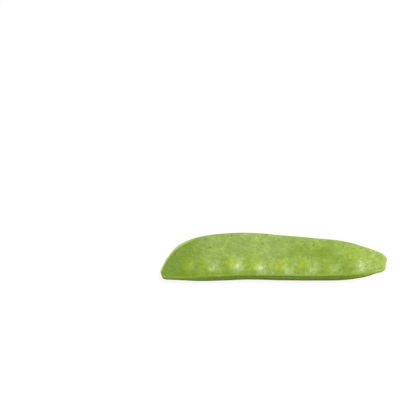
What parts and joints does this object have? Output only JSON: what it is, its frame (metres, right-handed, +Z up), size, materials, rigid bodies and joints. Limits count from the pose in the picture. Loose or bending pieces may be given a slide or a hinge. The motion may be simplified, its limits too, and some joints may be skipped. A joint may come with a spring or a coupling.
{
  "type": "snow pea pod",
  "caption": "Flat, gently curved snow pea pod lying on its broad side, trimmed at both ends, with a row of young peas showing as low bumps beside the ventral seam.",
  "frame": {"origin": "on the surface that the pod lies on, under the middle of its box", "axes": "+X along the pod to its stalk end, +Y across it from the ventral seam, which carries the peas, to the dorsal seam, +Z up"},
  "size_m": [0.08, 0.0176, 0.0048],
  "materials": {
    "pod_skin": "fresh plant skin with a satin, waxy sheen: mid green, yellower round the peas, with paler seams and cut edges"
  },
  "bodies": {
    "root": {"pod": "pod_skin"}
  },
  "joints": []
}
